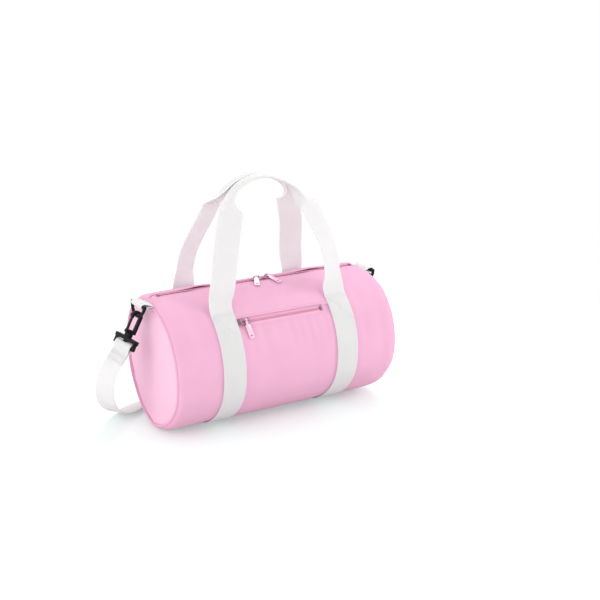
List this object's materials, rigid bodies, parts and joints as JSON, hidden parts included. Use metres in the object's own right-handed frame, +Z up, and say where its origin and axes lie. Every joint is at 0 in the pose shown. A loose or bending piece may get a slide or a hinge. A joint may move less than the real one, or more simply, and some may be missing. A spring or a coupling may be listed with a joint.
{
  "type": "barrel bag",
  "caption": "Small pink barrel bag with a zipped top, a zipped front pocket, white webbing bands and carry handles, and a clip-on shoulder strap with a length adjuster.",
  "frame": {"origin": "on the floor under the middle of the barrel, at the flat bottom of the webbing bands", "axes": "+X along the barrel to the right as seen from the front, +Y to the back, +Z up"},
  "size_m": [0.495, 0.2161, 0.3576],
  "materials": {
    "pink_cloth": "plain weave, matte",
    "pink_piping": "cloth over cord",
    "binding": "seam tape",
    "lining": "thin lining cloth",
    "webbing": "woven webbing, off-white",
    "zip_tape": "zip tape, matte",
    "zip_coil": "nylon coil",
    "zip_stop": "dull",
    "slider_metal": "satin",
    "pull_metal": "satin",
    "black_plastic": "moulded, satin"
  },
  "bodies": {
    "bag": {"main_panel": "pink_cloth", "pocket_panel": "pink_cloth", "end_panel_left": "pink_cloth", "end_panel_right": "pink_cloth", "end_piping_left": "pink_piping", "end_piping_right": "pink_piping", "seam_binding_left": "binding", "seam_binding_right": "binding", "end_tab_left": "webbing", "end_tab_right": "webbing", "band_left": "webbing", "band_right": "webbing", "main_zip_stops": "zip_stop", "main_zip_tape_front": "zip_tape", "main_zip_tape_rear": "zip_tape", "main_zip_coil_front": "zip_coil", "main_zip_coil_rear": "zip_coil", "pocket_zip_stops": "zip_stop", "pocket_zip_tape_lower": "zip_tape", "pocket_zip_tape_upper": "zip_tape", "pocket_zip_coil_lower": "zip_coil", "pocket_zip_coil_upper": "zip_coil", "pocket_lining": "lining", "shoulder_strap": "webbing", "strap_return": "webbing"},
    "slider_left": {"main_slider_left": "slider_metal"},
    "pull_left": {"main_pull_left": "pull_metal"},
    "slider_right": {"main_slider_right": "slider_metal"},
    "pull_right": {"main_pull_right": "pull_metal"},
    "slider_pocket": {"pocket_slider": "slider_metal"},
    "pull_pocket": {"pocket_pull": "pull_metal"},
    "carry_front": {"handle_front": "webbing"},
    "carry_rear": {"handle_rear": "webbing"},
    "ring_left": {"d_ring_left": "black_plastic", "hook_base_left": "black_plastic", "strap_loop_left": "webbing"},
    "hook_left": {"hook_body_left": "black_plastic"},
    "gate_left": {"hook_gate_left": "black_plastic"},
    "ring_right": {"d_ring_right": "black_plastic", "hook_base_right": "black_plastic", "strap_loop_right": "webbing"},
    "hook_right": {"hook_body_right": "black_plastic"},
    "gate_right": {"hook_gate_right": "black_plastic"},
    "adjuster": {"strap_adjuster": "black_plastic"}
  },
  "joints": [
    {"name": "main_zip_left", "type": "slide", "parent": "bag", "child": "slider_left", "axis": [1, 0, 0], "range_m": [-0.147, 0]},
    {"name": "main_zip_right", "type": "slide", "parent": "bag", "child": "slider_right", "axis": [1, 0, 0], "range_m": [0, 0.135]},
    {"name": "pull_left_lift", "type": "hinge", "parent": "slider_left", "child": "pull_left", "pos_m": [-0.003, 0, 0.2043], "axis": [-1, 0, 0], "range_deg": [0, 148]},
    {"name": "pull_right_lift", "type": "hinge", "parent": "slider_right", "child": "pull_right", "pos_m": [0.015, 0, 0.2043], "axis": [-1, 0, 0], "range_deg": [0, 148]},
    {"name": "pocket_zip", "type": "slide", "parent": "bag", "child": "slider_pocket", "axis": [1, 0, 0], "range_m": [0, 0.112]},
    {"name": "pull_pocket_lift", "type": "hinge", "parent": "slider_pocket", "child": "pull_pocket", "pos_m": [-0.0635, -0.07929, 0.1685], "axis": [-1, 0, 0], "range_deg": [0, 148]},
    {"name": "carry_front_fold", "type": "hinge", "parent": "bag", "child": "carry_front", "pos_m": [0, -0.05958, 0.18213], "axis": [1, 0, 0], "range_deg": [0, 115]},
    {"name": "carry_rear_fold", "type": "hinge", "parent": "bag", "child": "carry_rear", "pos_m": [0, 0.05958, 0.18213], "axis": [-1, 0, 0], "range_deg": [0, 115]},
    {"name": "ring_left_swing", "type": "hinge", "parent": "bag", "child": "ring_left", "pos_m": [-0.19, 0, 0.191], "axis": [0, 1, 0], "range_deg": [-18, 45], "deforming": ["shoulder_strap"]},
    {"name": "hook_left_swivel", "type": "hinge", "parent": "ring_left", "child": "hook_left", "pos_m": [-0.19393, 0, 0.17314], "axis": [-0.4695, 0, -0.8829], "range_deg": [-12, 12]},
    {"name": "gate_left_open", "type": "hinge", "parent": "hook_left", "child": "gate_left", "pos_m": [-0.20895, 0, 0.15746], "axis": [0, 1, 0], "range_deg": [0, 20], "stiffness_Nm_per_rad": 0.02},
    {"name": "ring_right_swing", "type": "hinge", "parent": "bag", "child": "ring_right", "pos_m": [0.19, 0, 0.191], "axis": [0, -1, 0], "range_deg": [-18, 45], "deforming": ["shoulder_strap", "strap_return"]},
    {"name": "hook_right_swivel", "type": "hinge", "parent": "ring_right", "child": "hook_right", "pos_m": [0.19393, 0, 0.17314], "axis": [0.4695, 0, -0.8829], "range_deg": [-12, 12]},
    {"name": "gate_right_open", "type": "hinge", "parent": "hook_right", "child": "gate_right", "pos_m": [0.20895, 0, 0.15746], "axis": [0, -1, 0], "range_deg": [0, 20], "stiffness_Nm_per_rad": 0.02},
    {"name": "strap_length", "type": "slide", "parent": "bag", "child": "adjuster", "axis": [1, 0, 0], "range_m": [-0.09, 0.05], "deforming": ["strap_return"]}
  ]
}
